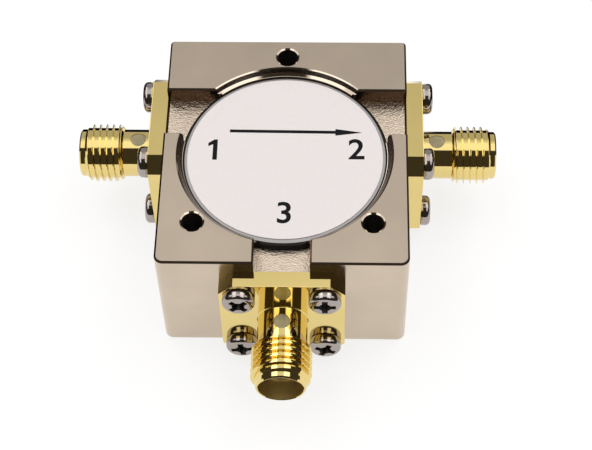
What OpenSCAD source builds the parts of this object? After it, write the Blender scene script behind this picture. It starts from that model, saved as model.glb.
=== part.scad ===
// Coaxial junction circulator with three threaded ports.
// Origin: junction axis on the underside. +X to the right port, +Y to the back, +Z up.

/* [Housing] */
// Width across the two side faces
body_w = 25.4; // [24.8:0.1:30]
// Depth from the front face to the back face
body_d = 28.5; // [28:0.1:34]
// Height
body_h = 15; // [14.4:0.1:18]
// Junction axis in front of the middle of the depth
axis_shift = 0.62; // [0.4:0.01:0.8]
// Radius of the two front vertical edges
front_edge_r = 0.9; // [0.4:0.1:1.5]
// Radius of the two back vertical edges
back_edge_r = 0.5; // [0.4:0.1:1.5]
// Break along the top and bottom edges and along the slots
edge_break = 0.2; // [0.05:0.05:0.3]

/* [Junction cavity] */
// Radius of the cavity, at the pitch line of the lid's thread
cavity_r = 10.8; // [10.2:0.05:10.9]
// Width of the chamfer round the cavity's mouth
mouth_chamfer = 0.4; // [0.1:0.05:0.5]
// Clearance of each round piece in its seat
fit_gap = 0.02; // [0.01:0.01:0.05]

/* [Relief slots] */
// Width of the slot above each port
slot_w = 5.6; // [4:0.1:6.6]
// Side slots' middles behind the junction axis
side_slot_y = 5.3; // [4.8:0.05:5.6]
// Depth of the slots below the top face
slot_depth = 2; // [1.2:0.1:2.6]
// Rounding where a slot meets the cavity
slot_corner_r = 0.5; // [0.1:0.1:0.8]

/* [Mounting holes] */
// Diameter of the three through holes
hole_d = 2.2; // [1.8:0.1:2.4]
// Width of the chamfer on each end of a hole
hole_chamfer = 0.23; // [0.05:0.01:0.3]
// Metal left between the cavity's mouth and a hole's mouth
hole_land = 0.07; // [0.05:0.01:0.3]
// Angle of the two front holes, in front of the side direction
hole_angle = 43.7; // [40:0.1:48]

/* [Lid and label] */
// Depth of the lid's top face below the housing's top
lid_recess = 1; // [0.6:0.1:1.2]
// Chamfer on the lid's top edge
lid_chamfer = 0.2; // [0.05:0.01:0.3]
// Diameter of the two spanner holes in the lid
spanner_d = 1.6; // [1:0.1:2]
// Depth of the spanner holes
spanner_depth = 1; // [0.4:0.1:1.2]
// Distance between the spanner holes
spanner_pitch = 13; // [8:0.5:16]
// Rim of the lid left bare round the label, out to the cavity wall
label_gap = 0.65; // [0.6:0.05:2]
// Thickness of the label
label_t = 0.1; // [0.05:0.01:0.2]

/* [Ports] */
// Height of the three port axes above the underside
port_z = 7.1; // [6.9:0.1:7.6]
// Side ports' axes behind the junction axis
side_port_y = 5.5; // [4.8:0.05:5.6]
// Width and height of the square flange
flange_w = 12.7; // [11.6:0.1:13]
// Thickness of the flange
flange_t = 1.75; // [1.4:0.05:2]
// Width of the chamfer on the flange's four corners
flange_chamfer = 1.5; // [0.3:0.1:1.6]
// Housing face to the open end of a port
port_len = 9.75; // [9:0.05:12]
// Diameter of the plain neck
neck_d = 5.1; // [5:0.05:5.6]
// Outside diameter of the thread
thread_d = 6.3; // [6:0.01:6.6]
// Length of the thread
thread_len = 4.1; // [3:0.01:4.5]
// Bevel at each end of the thread
thread_bevel = 0.3; // [0.1:0.05:0.5]
// Diameter of the plain collar at the open end
collar_d = 5.1; // [5:0.05:5.6]
// Length of the collar
collar_len = 0.62; // [0.4:0.01:1]
// Bevel on the collar's rim
collar_bevel = 0.15; // [0.05:0.05:0.2]
// Diameter of the open mouth
mouth_d = 4.6; // [4.4:0.01:4.7]
// Depth of the mouth, down to the insulator
mouth_depth = 2.2; // [1.5:0.1:2.4]

/* [Port insides] */
// Diameter of the insulator
insulator_d = 4.1; // [3.6:0.05:4.2]
// Diameter of the contact
contact_d = 1.27; // [1:0.01:1.4]
// Diameter of the socket in the contact
socket_d = 0.94; // [0.7:0.01:0.95]
// Depth of the socket
socket_depth = 2.5; // [1.5:0.1:3]
// Width of the saw cuts that make the socket springy
socket_cut_w = 0.18; // [0.1:0.01:0.3]
// Length of the saw cuts
socket_cut_len = 1.8; // [1:0.1:2]
// Diameter of the resin plug in the neck
plug_d = 1.65; // [1:0.05:1.8]
// Depth of the plug's outer end below the neck's surface
plug_sunk = 0.06; // [0:0.01:0.2]

/* [Flange screws] */
// Distance between screws, along each side of the flange
screw_pitch = 8.64; // [8:0.01:9]
// Diameter of the screw's thread
screw_d = 2; // [1.6:0.1:2]
// Clearance round a screw in the flange
screw_clear = 0.15; // [0.05:0.01:0.25]
// Length of a screw under its head
screw_len = 3; // [2.6:0.1:3.2]
// Free depth below a screw's tip
screw_tip_gap = 0.15; // [0.05:0.05:0.3]
// Diameter of the pan head
head_d = 3.3; // [3:0.1:3.8]
// Height of the pan head
head_h = 1.15; // [0.9:0.05:1.4]
// Rounding of the pan head's edge
head_edge_r = 0.5; // [0.2:0.05:0.7]
// Span of the cross recess
recess_span = 2.1; // [1.4:0.1:2.2]
// Width of the cross recess's arms
recess_arm = 0.6; // [0.3:0.05:0.7]
// Depth of the cross recess
recess_depth = 0.7; // [0.3:0.05:0.8]

/* [Junction stack] */
// Thickness of the centre conductor
strip_t = 0.2; // [0.1:0.05:0.4]
// Radius of the centre conductor's disc
strip_disc_r = 5.6; // [4:0.1:7]
// Width of the arms to the ports
arm_w = 2.6; // [1.6:0.1:3]
// Width of the tuning stubs between the arms
stub_w = 4; // [2:0.1:5]
// Distance of the tuning stubs' ends inside the ferrite's edge
stub_inset = 1.5; // [0.5:0.1:2.3]
// Gap from the arms' ends to the cavity wall
arm_gap = 0.2; // [0.1:0.05:0.4]
// Gap from the ferrite discs to the cavity wall
ferrite_gap = 1.3; // [1.2:0.1:1.8]
// Thickness of each ferrite disc
ferrite_t = 1.5; // [1.3:0.1:1.7]
// Thickness of each pole plate
pole_t = 1; // [0.8:0.1:1.2]
// Gap round the pole plates
pole_gap = 0.1; // [0.05:0.05:0.3]
// Gap from the magnets to the cavity wall
magnet_gap = 0.8; // [0.7:0.1:2]
// Thickness of each magnet
magnet_t = 2; // [1.8:0.1:2.2]
// Gap from the compensation discs to the cavity wall
comp_gap = 0.8; // [0.7:0.1:2]
// Thickness of each compensation disc
comp_t = 0.3; // [0.1:0.05:0.4]
// Gap from a contact's tail to the ferrites
tail_gap = 0.15; // [0.05:0.05:0.3]

/* [Hidden] */
$fn = 96;
// Overlap of each cut past the face it opens
cut = 0.1;
// Turn of each slot corner's cut past the point where it touches the cavity
past_tangent = 10;
front_d = body_d / 2 - axis_shift;
back_d = body_d / 2 + axis_shift;
mouth_r = cavity_r + mouth_chamfer;
hole_ring_r = mouth_r + hole_land + hole_d / 2 + hole_chamfer;
feed_r = insulator_d / 2 + fit_gap;
screw_grip = screw_len - flange_t;
neck_len = port_len - flange_t - thread_len - collar_len;

// Heights of the stack, outwards from the strip's middle
ferrite_at = strip_t / 2;
pole_at = ferrite_at + ferrite_t;
magnet_at = pole_at + pole_t;
comp_at = magnet_at + magnet_t;
stack_half = comp_at + comp_t;
cavity_floor = port_z - stack_half;
lid_bottom = port_z + stack_half;
lid_top = body_h - lid_recess;

// Radii of the round pieces, inwards from the cavity wall
lid_r = cavity_r - fit_gap;
label_r = cavity_r - label_gap;
pole_r = cavity_r - pole_gap;
magnet_r = cavity_r - magnet_gap;
comp_r = cavity_r - comp_gap;
ferrite_r = cavity_r - ferrite_gap;
stub_r = ferrite_r - stub_inset;
arm_reach = cavity_r - arm_gap;

FRONT = "front";
RIGHT = "right";
LEFT = "left";
PORTS = [FRONT, RIGHT, LEFT];

NICKEL = [0.72, 0.68, 0.63];
STEEL = [0.76, 0.75, 0.74];
GOLD = [0.84, 0.72, 0.42];
PAPER = [0.95, 0.93, 0.92];
PTFE = [0.96, 0.96, 0.94];
RESIN = [0.55, 0.52, 0.4];
MAGNET = [0.28, 0.28, 0.3];
FERRITE = [0.22, 0.2, 0.19];
SILVER = [0.85, 0.85, 0.83];
ALLOY = [0.62, 0.6, 0.57];

// Turn of a port about the junction axis, from the front
function turn(port) = port == RIGHT ? 90 : (port == LEFT ? -90 : 0);
// Distance of a port's face from the junction axis
function face(port) = port == FRONT ? front_d : body_w / 2;
// Sideways place of a port on its face
function shift(port) = port == RIGHT ? side_port_y : (port == LEFT ? -side_port_y : 0);
// Sideways place of the slot above a port
function slot_shift(port) = shift(port) * side_slot_y / side_port_y;
// Direction of the conductor's arm to a port
function arm_angle(port) = turn(port) - 90 + asin(shift(port) / arm_reach);
// Distance along a port, from the junction axis to a circle of radius r, at sideways offset s
function reach(r, s) = sqrt(r * r - s * s);
// Inner end of a port's insulator, clear of the cavity
function insulator_end(port) = reach(cavity_r, max(0, abs(shift(port)) - insulator_d / 2));
// Inner end of a port's contact, clear of the ferrites
function tail_end(port) = reach(ferrite_r, max(0, abs(shift(port)) - contact_d / 2)) + tail_gap;

// Places children on a port's face: +Z leaves the housing along the port, +Y is up
module on_port(port) {
    translate([0, 0, port_z])
        rotate([90, 0, turn(port)])
            translate([shift(port), 0, face(port)])
                children();
}

// Places children on the four corners of a square pattern
module at_corners(pitch) {
    for (x = [-1, 1], y = [-1, 1])
        translate([x, y, 0] * pitch / 2)
            children();
}

// Cylinder with a bevel of the given width on its upper edge
module bevelled_rod(d, h, bevel) {
    cylinder(d = d, h = h - bevel);
    translate([0, 0, h - bevel])
        cylinder(d1 = d, d2 = d - 2 * bevel, h = bevel);
}

// Housing

// Centres of the rounded corners, with their radii
function body_corners() = [
    for (x = [-1, 1], back = [false, true])
        let (r = back ? back_edge_r : front_edge_r)
            [x * (body_w / 2 - r), back ? back_d - r : r - front_d, r]
];

// Slab of the housing's outline whose sides lean in by the given amount towards the top
module body_slab(h, lean) {
    for (c = body_corners())
        translate([c[0], c[1], 0])
            cylinder(r1 = c[2], r2 = c[2] - lean, h = h);
    across = [[-front_d, 0], [back_d, 0], [back_d - lean, h], [lean - front_d, h]];
    along = [[-body_w / 2, 0], [body_w / 2, 0], [body_w / 2 - lean, h], [lean - body_w / 2, h]];
    front_half = [across[0], [0, 0], [0, h], across[3]];
    back_half = [[0, 0], across[1], across[2], [0, h]];
    slab_prism(front_half, body_w - 2 * front_edge_r);
    slab_prism(back_half, body_w - 2 * back_edge_r);
    translate([0, back_d - back_edge_r, 0])
        rotate([90, 0, 0])
            linear_extrude(body_d - front_edge_r - back_edge_r)
                polygon(along);
}

// Prism along X, centred, with a profile given in Y and Z
module slab_prism(profile, length) {
    rotate([90, 0, 90])
        linear_extrude(length, center = true)
            polygon(profile);
}

// Two like halves that meet at mid height, each with its broken edge
module body_block() {
    shoulder = body_h / 2 - edge_break;
    translate([0, 0, body_h / 2])
        for (half = [0, 1])
            mirror([0, 0, half]) {
                body_slab(shoulder, 0);
                translate([0, 0, shoulder])
                    body_slab(edge_break, edge_break);
            }
}

module junction_cavity() {
    translate([0, 0, cavity_floor])
        cylinder(r = cavity_r, h = body_h);
    translate([0, 0, body_h - mouth_chamfer])
        cylinder(r1 = cavity_r, r2 = mouth_r + cut, h = mouth_chamfer + cut);
}

// Plan of the corner that is rounded off where a slot's wall meets the cavity.
// The slot runs along +X, its wall is at Y = wall, and the metal lies on the given side of it.
module slot_corner(wall, side) {
    mid = [reach(cavity_r + slot_corner_r, wall + side * slot_corner_r), wall + side * slot_corner_r];
    inward = atan2(mid[1], mid[0]) + 180 - side * past_tangent;
    in_cavity = mid + 2 * slot_corner_r * [cos(inward), sin(inward)];
    in_slot = wall - side * slot_corner_r;
    difference() {
        polygon([in_cavity, [in_cavity[0], in_slot], [mid[0], in_slot], mid]);
        translate(mid)
            circle(r = slot_corner_r);
    }
}

// Slot from the cavity out through a side, with a break along the top of its two walls
module relief_slot(port) {
    wall = slot_shift(port) - slot_w / 2;
    flare = edge_break + cut;
    rotate([0, 0, turn(port) - 90]) {
        translate([0, 0, body_h - slot_depth])
            linear_extrude(slot_depth + cut) {
                translate([0, wall])
                    square([face(port) + cut, slot_w]);
                slot_corner(wall, -1);
                slot_corner(wall + slot_w, 1);
            }
        translate([0, wall, body_h - edge_break])
            rotate([90, 0, 90])
                linear_extrude(face(port) + cut)
                    polygon([[0, 0], [slot_w, 0], [slot_w + flare, flare], [-flare, flare]]);
    }
}

// Hole through the wall for the insulator, and the four blind screw holes round it
module port_drilling(port) {
    inner = reach(cavity_r, abs(shift(port)) + feed_r) - cut;
    on_port(port) {
        translate([0, 0, inner - face(port)])
            cylinder(r = feed_r, h = face(port) - inner + cut);
        at_corners(screw_pitch)
            translate([0, 0, -screw_grip - screw_tip_gap])
                cylinder(d = screw_d + 2 * fit_gap, h = screw_grip + screw_tip_gap + cut);
    }
}

module mounting_hole() {
    mouth = hole_d / 2 + hole_chamfer;
    translate([0, 0, -cut])
        cylinder(d = hole_d, h = body_h + 2 * cut);
    translate([0, 0, body_h - hole_chamfer])
        cylinder(r1 = hole_d / 2, r2 = mouth + cut, h = hole_chamfer + cut);
    translate([0, 0, -cut])
        cylinder(r1 = mouth + cut, r2 = hole_d / 2, h = hole_chamfer + cut);
}

module body_housing() {
    color(NICKEL)
        difference() {
            body_block();
            junction_cavity();
            for (port = PORTS) {
                relief_slot(port);
                port_drilling(port);
            }
            for (angle = [90, -hole_angle, hole_angle - 180])
                rotate([0, 0, angle])
                    translate([hole_ring_r, 0, 0])
                        mounting_hole();
        }
}

// Lid and label

module threaded_lid() {
    color(STEEL)
        difference() {
            translate([0, 0, lid_bottom])
                bevelled_rod(2 * lid_r, lid_top - lid_bottom, lid_chamfer);
            for (x = [-1, 1])
                translate([x * spanner_pitch / 2, 0, lid_top - spanner_depth])
                    cylinder(d = spanner_d, h = spanner_depth + cut);
        }
}

module round_label() {
    color(PAPER)
        translate([0, 0, lid_top])
            cylinder(r = label_r, h = label_t);
}

// Junction stack

// Disc whose face nearer the strip lies at the given height above it, or below it on side -1
module stack_disc(side, at, r, t) {
    translate([0, 0, port_z + (side > 0 ? at : -at - t)])
        cylinder(r = r, h = t);
}

module ferrite(side) {
    color(FERRITE)
        stack_disc(side, ferrite_at, ferrite_r, ferrite_t);
}

module pole_plate(side) {
    color(STEEL)
        stack_disc(side, pole_at, pole_r, pole_t);
}

module bias_magnet(side) {
    color(MAGNET)
        stack_disc(side, magnet_at, magnet_r, magnet_t);
}

module compensation_disc(side) {
    color(ALLOY)
        stack_disc(side, comp_at, comp_r, comp_t);
}

module centre_conductor() {
    color(SILVER)
        translate([0, 0, port_z - strip_t / 2]) {
            cylinder(r = strip_disc_r, h = strip_t);
            for (port = PORTS)
                rotate([0, 0, arm_angle(port)]) {
                    translate([strip_disc_r / 2, -arm_w / 2, 0])
                        cube([arm_reach - strip_disc_r / 2, arm_w, strip_t]);
                    translate([-stub_r, -stub_w / 2, 0])
                        cube([stub_r - strip_disc_r / 2, stub_w, strip_t]);
                }
        }
}

// Ports

// Square plate with its four corners cut off
module flange_plate() {
    far = flange_w / 2;
    near = far - flange_chamfer;
    linear_extrude(flange_t)
        polygon([
            [far, -near], [far, near], [near, far], [-near, far],
            [-far, near], [-far, -near], [-near, -far], [near, -far]
        ]);
}

// Threaded barrel, with a bevel at both ends of the thread, and the collar past it
module barrel() {
    root_d = thread_d - 2 * thread_bevel;
    translate([0, 0, flange_t])
        cylinder(d = neck_d, h = neck_len);
    translate([0, 0, flange_t + neck_len]) {
        cylinder(d1 = root_d, d2 = thread_d, h = thread_bevel);
        translate([0, 0, thread_bevel])
            bevelled_rod(thread_d, thread_len - thread_bevel, thread_bevel);
    }
    translate([0, 0, port_len - collar_len])
        bevelled_rod(collar_d, collar_len, collar_bevel);
}

// Radial hole for the resin plug, half way along the neck, opening upwards
module plug_bore(gap) {
    translate([0, 0, flange_t + neck_len / 2])
        rotate([-90, 0, 0])
            cylinder(d = plug_d + 2 * gap, h = neck_d);
}

module connector_shell(port) {
    color(GOLD)
        on_port(port)
            difference() {
                union() {
                    flange_plate();
                    barrel();
                }
                translate([0, 0, -cut])
                    cylinder(r = feed_r, h = port_len);
                translate([0, 0, port_len - mouth_depth])
                    cylinder(d = mouth_d, h = mouth_depth + cut);
                plug_bore(fit_gap);
                at_corners(screw_pitch)
                    translate([0, 0, -cut])
                        cylinder(d = screw_d + 2 * screw_clear, h = flange_t + 2 * cut);
            }
}

module insulator(port) {
    inner = insulator_end(port) - face(port);
    color(PTFE)
        on_port(port)
            difference() {
                translate([0, 0, inner])
                    cylinder(d = insulator_d, h = port_len - mouth_depth - inner);
                translate([0, 0, inner - cut])
                    cylinder(d = contact_d + 2 * fit_gap, h = port_len - inner);
                plug_bore(fit_gap);
            }
}

// Socket at the open end, pin through the wall, and a half-round tail that lies on the strip
module contact(port) {
    inner = insulator_end(port) - face(port);
    tail = tail_end(port) - face(port);
    outer = port_len - mouth_depth;
    color(GOLD)
        on_port(port)
            difference() {
                translate([0, 0, tail])
                    cylinder(d = contact_d, h = outer - tail);
                translate([-contact_d, strip_t / 2 - 2 * contact_d, tail - cut])
                    cube([2 * contact_d, 2 * contact_d, inner - tail + cut]);
                translate([0, 0, outer - socket_depth])
                    cylinder(d = socket_d, h = socket_depth + cut);
                for (turn = [0, 90])
                    rotate([0, 0, turn])
                        translate([-contact_d, -socket_cut_w / 2, outer - socket_cut_len])
                            cube([2 * contact_d, socket_cut_w, socket_cut_len + cut]);
            }
}

module potting_plug(port) {
    color(RESIN)
        on_port(port)
            difference() {
                intersection() {
                    plug_bore(0);
                    cylinder(d = neck_d - 2 * plug_sunk, h = port_len);
                }
                cylinder(d = contact_d + 2 * fit_gap, h = port_len);
            }
}

// Pan head with rounded edge, seen in half section
module pan_profile() {
    inner_r = head_d / 2 - head_edge_r;
    square([inner_r, head_h]);
    square([head_d / 2, head_h - head_edge_r]);
    intersection() {
        translate([inner_r, head_h - head_edge_r])
            circle(r = head_edge_r);
        square([head_d / 2, head_h]);
    }
}

module flange_screw() {
    difference() {
        union() {
            translate([0, 0, -screw_len])
                cylinder(d = screw_d, h = screw_len);
            rotate_extrude()
                pan_profile();
        }
        for (turn = [0, 90])
            rotate([0, 0, turn])
                translate([-recess_span / 2, -recess_arm / 2, head_h - recess_depth])
                    cube([recess_span, recess_arm, recess_depth + cut]);
    }
}

module flange_screws(port) {
    color(STEEL)
        on_port(port)
            at_corners(screw_pitch)
                translate([0, 0, flange_t])
                    flange_screw();
}

body_housing();
threaded_lid();
round_label();
compensation_disc(-1);  // lower_compensation_disc
bias_magnet(-1);  // lower_magnet
pole_plate(-1);  // lower_pole_plate
ferrite(-1);  // lower_ferrite
centre_conductor();
ferrite(1);  // upper_ferrite
pole_plate(1);  // upper_pole_plate
bias_magnet(1);  // upper_magnet
compensation_disc(1);  // upper_compensation_disc
connector_shell(FRONT);  // front_connector_shell
insulator(FRONT);  // front_insulator
contact(FRONT);  // front_contact
potting_plug(FRONT);  // front_potting_plug
flange_screws(FRONT);  // front_flange_screws
connector_shell(RIGHT);  // right_connector_shell
insulator(RIGHT);  // right_insulator
contact(RIGHT);  // right_contact
potting_plug(RIGHT);  // right_potting_plug
flange_screws(RIGHT);  // right_flange_screws
connector_shell(LEFT);  // left_connector_shell
insulator(LEFT);  // left_insulator
contact(LEFT);  // left_contact
potting_plug(LEFT);  // left_potting_plug
flange_screws(LEFT);  // left_flange_screws
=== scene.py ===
"""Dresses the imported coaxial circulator: plated housing, lid, label, threaded ports, screws and a studio."""

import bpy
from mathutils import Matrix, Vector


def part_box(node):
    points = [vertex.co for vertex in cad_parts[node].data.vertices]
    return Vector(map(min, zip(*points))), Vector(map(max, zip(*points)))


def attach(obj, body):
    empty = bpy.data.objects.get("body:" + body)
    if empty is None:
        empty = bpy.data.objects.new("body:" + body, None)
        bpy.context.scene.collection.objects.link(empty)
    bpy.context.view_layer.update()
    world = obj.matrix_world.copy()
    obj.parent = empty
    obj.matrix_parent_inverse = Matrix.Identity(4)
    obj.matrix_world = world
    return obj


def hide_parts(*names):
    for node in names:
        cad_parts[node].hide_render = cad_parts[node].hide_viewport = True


bl_info = {
    "name": "Coaxial circulator",
    "version": (1, 0, 0),
    "blender": (4, 5, 0),
    "location": "View3D > Sidebar > Circulator",
    "description": "Models the visible pieces of a coaxial circulator round its packed frame",
    "category": "Mesh",
}

import math

import bpy
from bpy.props import FloatProperty, FloatVectorProperty, PointerProperty
from mathutils import Matrix, Vector

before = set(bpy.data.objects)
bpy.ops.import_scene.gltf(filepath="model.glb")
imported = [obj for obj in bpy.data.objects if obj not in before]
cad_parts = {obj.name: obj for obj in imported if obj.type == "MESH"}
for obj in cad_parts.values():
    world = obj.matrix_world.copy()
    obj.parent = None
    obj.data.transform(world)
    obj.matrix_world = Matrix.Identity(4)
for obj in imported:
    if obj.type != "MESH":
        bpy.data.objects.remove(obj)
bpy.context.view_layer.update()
MM = 0.001
# How far a cutting tool runs past the face that it opens
PAST = 0.1 * MM
# Tolerance in tests of where a face, an edge or a point lies
TINY = 0.01 * MM
# Points of a mesh that are nearer than this are one point
DOUBLES = 0.001 * MM
# Camera fitted to the straight edges of the block: its place, and its right, up and back directions
CAMERA_AT = (0.005773, -0.099925, 0.151448)
CAMERA_AXES = ((0.99960, 0.02173, -0.01790), (-0.00816, 0.83215, 0.55449), (0.02694, -0.55412, 0.83200))


def length(name, description, millimetres):
    return FloatProperty(
        name=name, description=description, default=millimetres * MM, unit="LENGTH", precision=5
    )


def angle(name, description, degrees):
    return FloatProperty(name=name, description=description, default=math.radians(degrees), subtype="ANGLE")


def share(name, description, value):
    return FloatProperty(name=name, description=description, default=value, min=0, max=1, subtype="FACTOR")


def colour(name, description, red, green, blue):
    return FloatVectorProperty(
        name=name, description=description, default=(red, green, blue), min=0, max=1, size=3, subtype="COLOR"
    )


# Sizes and colours that a user would change

class HousingSettings(bpy.types.PropertyGroup):
    front_edge_r: length("Front edges", "Radius of the two front vertical edges", 0.9)
    back_edge_r: length("Back edges", "Radius of the two back vertical edges", 0.5)
    edge_break: length("Edge break", "Break along the top and bottom edges and along the slots", 0.2)
    cavity_r: length("Cavity", "Radius of the cavity, at the pitch line of the lid's thread", 10.8)
    mouth_chamfer: length("Mouth chamfer", "Width of the chamfer round the cavity's mouth", 0.4)
    turn_depth: length("Cavity thread depth", "Depth of the thread in the cavity's mouth", 0.36)
    turn_crest: length("Cavity thread crest", "Height of the flat on that thread's crest", 0.14)
    slot_w: length("Slot width", "Width of the slot above each port", 5.6)
    side_slot_y: length("Side slots", "Side slots' middles behind the junction axis", 5.3)
    slot_depth: length("Slot depth", "Depth of the slots below the top face", 2)
    slot_corner_r: length("Slot corners", "Rounding where a slot meets the cavity", 0.5)
    hole_d: length("Mounting hole", "Diameter of the three through holes", 2.2)
    hole_chamfer: length("Hole chamfer", "Width of the chamfer on each end of a hole", 0.16)
    hole_ring_r: length("Hole ring", "Distance of the holes from the junction axis", 12.6)
    hole_angle: angle("Hole angle", "Angle of the two front holes, in front of the side direction", 43.7)


class LidSettings(bpy.types.PropertyGroup):
    chamfer: length("Lid chamfer", "Chamfer on the lid's top edge", 0.2)
    # Painted shade: the rim inside the chamfer is near black, for the gap round the lid
    dark_rim: length("Dark rim", "Width of the rim with painted shade inside that chamfer", 0.16)
    turn_pitch: length("Lid thread pitch", "Height of one turn of the lid's thread", 0.3)
    turn_depth: length("Lid thread depth", "Depth of the lid's thread", 0.16)
    spanner_d: length("Spanner holes", "Diameter of the two spanner holes", 1.6)
    spanner_depth: length("Spanner hole depth", "Depth of the spanner holes", 1)
    spanner_pitch: length("Spanner hole distance", "Distance between the spanner holes", 13)
    print_t: length("Print thickness", "Thickness of the print on the label", 0.012)
    figure_h: length("Figure height", "Height of the port numbers on the label", 2.6)


class PortSettings(bpy.types.PropertyGroup):
    flange_t: length("Flange thickness", "Thickness of the square flange", 1.75)
    flange_chamfer: length("Flange corners", "Width of the chamfer on the flange's four corners", 1.5)
    flange_break: length("Flange break", "Break along the flange's outer edges", 0.07)
    neck_d: length("Neck", "Diameter of the plain neck", 5.1)
    thread_d: length("Thread", "Outside diameter of the thread", 6.18)
    thread_depth: length("Thread depth", "Depth of the thread", 0.38)
    thread_pitch: length("Thread pitch", "Distance from turn to turn", 0.7056)
    thread_crest: length("Thread crest", "Flat on top of a turn", 0.06)
    thread_flank: length("Thread flank", "Width of a turn's sloping side", 0.09)
    thread_len: length("Thread length", "Length of the thread", 4.1)
    thread_bevel: length("Thread bevel", "Bevel at the thread's outer end", 0.38)
    shoulder_d: length("Shoulder", "Diameter of the shoulder between the neck and the thread", 5.76)
    shoulder_len: length("Shoulder length", "Length of that shoulder", 0.3)
    neck_fillet: length("Neck fillet", "Fillet between the flange and the neck", 0.12)
    collar_d: length("Collar", "Diameter of the plain collar at the open end", 5.1)
    collar_len: length("Collar length", "Length of the collar", 0.62)
    collar_bevel: length("Collar bevel", "Bevel on the collar's rim", 0.15)
    mouth_d: length("Mouth", "Diameter of the open mouth", 4.6)
    mouth_depth: length("Mouth depth", "Depth of the mouth, down to the insulator", 2.2)
    bore_d: length("Bore", "Diameter of the bore for the insulator", 4.14)
    plug_d: length("Plug", "Diameter of the resin plug in the neck", 1.65)
    plug_gap: length("Plug gap", "Clearance round the plug", 0.02)
    plug_sunk: length("Plug sunk", "Depth of the plug's middle below the neck's surface", 0.06)
    contact_d: length("Contact", "Diameter of the contact in the middle", 1.31)


class ScrewSettings(bpy.types.PropertyGroup):
    pitch: length("Screw distance", "Distance between screws, along each side of the flange", 8.64)
    shank_d: length("Shank", "Diameter of the screw's thread", 2)
    hole_d: length("Flange hole", "Diameter of the holes in the flange", 2.3)
    tapped_d: length("Tapped hole", "Diameter of the holes in the housing", 2.04)
    tapped_depth: length("Tapped depth", "Depth of the holes in the housing", 1.4)
    under_head: length("Length under head", "Length of a screw under its head", 3)
    head_d: length("Head", "Diameter of the pan head", 3.3)
    head_h: length("Head height", "Height of the pan head", 1.15)
    head_foot: length("Head foot", "Rounding of the pan head's foot", 0.18)
    head_edge_r: length("Head edge", "Rounding of the pan head's edge", 0.5)
    recess_span: length("Recess span", "Span of the cross recess", 2.3)
    recess_arm: length("Recess arm", "Width of the cross recess's arms", 0.6)
    recess_depth: length("Recess depth", "Depth of the cross recess", 0.7)


class FinishSettings(bpy.types.PropertyGroup):
    nickel: colour("Nickel", "Satin nickel plate of the housing", 0.60, 0.50, 0.396)
    # Painted shade: dark nickel in the bores and on the cavity's chamfer, for the shade in the holes and in the
    # gap round the lid
    painted_shade_nickel: colour("Painted shade nickel", "Nickel in the bores and on the cavity's chamfer", 0.15, 0.122, 0.10)
    # Painted shade: the slot walls are a darker brown nickel for the shade in the narrow slots
    wall: colour("Slot walls", "Nickel on the walls of the slots", 0.25, 0.16, 0.105)
    lid: colour("Lid", "Turned steel of the lid", 0.53, 0.515, 0.51)
    # Painted shade: near-black thread and edge of the lid, for the gap round it
    lid_side_shade: colour("Lid side", "Painted shade on the thread and edge of the lid", 0.03, 0.026, 0.024)
    gold: colour("Gold", "Pale gold plate of the ports", 0.80, 0.635, 0.25)
    bore: colour("Bore", "Duller gold inside the ports", 0.72, 0.58, 0.29)
    screw: colour("Screws", "Bright plate of the screws", 0.40, 0.355, 0.33)
    # Painted shade: the screws' cross recess is near black for the shade in it
    recess: colour("Recess", "Dark depth of the screws' cross recess", 0.035, 0.028, 0.022)
    paper: colour("Paper", "White paper of the label", 0.925, 0.865, 0.855)
    ink: colour("Ink", "Black print on the label", 0.012, 0.011, 0.013)
    resin: colour("Resin", "Olive resin of the plugs", 0.42, 0.365, 0.21)
    # Painted shade: the white insulator is painted dark tan, as it sits in shade deep in the port's mouth
    dielectric: colour("Dielectric", "Insulator of the ports", 0.42, 0.38, 0.27)
    ferrite: colour("Ferrite", "Dark ceramic of the ferrite discs", 0.045, 0.04, 0.038)
    magnet: colour("Magnet", "Grey bias magnets", 0.30, 0.30, 0.31)
    pole: colour("Pole plates", "Ground steel of the pole plates", 0.50, 0.49, 0.48)
    alloy: colour("Compensation discs", "Nickel-iron of the thin discs", 0.47, 0.44, 0.40)
    silver: colour("Silver", "Silver plate of the centre conductor", 0.88, 0.87, 0.84)


class StageSettings(bpy.types.PropertyGroup):
    lens: FloatProperty(name="Lens", description="Focal length on a 36 mm sensor", default=99.67)
    ceiling: FloatProperty(name="Ceiling light", description="Strength of the long light overhead", default=1.2)
    boxes: FloatProperty(name="Side strips", description="Strength of the long light on each side", default=1.9)
    sweep: FloatProperty(name="Back wall", description="Strength of the pale wall behind", default=0.64)
    dim: colour("Dim room", "Colour of the dark room on the camera's side", 0.05, 0.042, 0.034)
    floor: share("Floor", "Paleness of the floor in the light", 0.28)
    floor_r: FloatProperty(name="Floor size", description="Radius of the floor", default=0.15, unit="LENGTH")
    floor_lift: share("Floor lift", "White that the floor adds for the camera and in gloss", 0.78)
    card: length("Dark card", "Distance behind the axis past which gloss beside the block sees a dark card", 16)


# Tools

def only(piece):
    """Make one object the active and only selected one."""
    if bpy.context.mode != "OBJECT":
        bpy.ops.object.mode_set(mode="OBJECT")
    bpy.ops.object.select_all(action="DESELECT")
    piece.select_set(True)
    bpy.context.view_layer.objects.active = piece
    return piece


def fresh(name):
    """Name the primitive that was just added, with its place in its mesh."""
    piece = bpy.context.object
    piece.name = piece.data.name = name
    bpy.ops.object.transform_apply(location=True, rotation=True, scale=True)
    return piece


def clean(piece):
    """Merge doubles and point all faces outwards."""
    only(piece)
    bpy.ops.object.mode_set(mode="EDIT")
    bpy.ops.mesh.select_all(action="SELECT")
    bpy.ops.mesh.remove_doubles(threshold=DOUBLES)
    bpy.ops.mesh.normals_make_consistent(inside=False)
    bpy.ops.object.mode_set(mode="OBJECT")
    return piece


def block(name, low, high):
    bpy.ops.object.select_all(action="DESELECT")
    low, high = Vector(low), Vector(high)
    bpy.ops.mesh.primitive_cube_add(size=1, location=(low + high) / 2, scale=high - low)
    return fresh(name)


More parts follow.
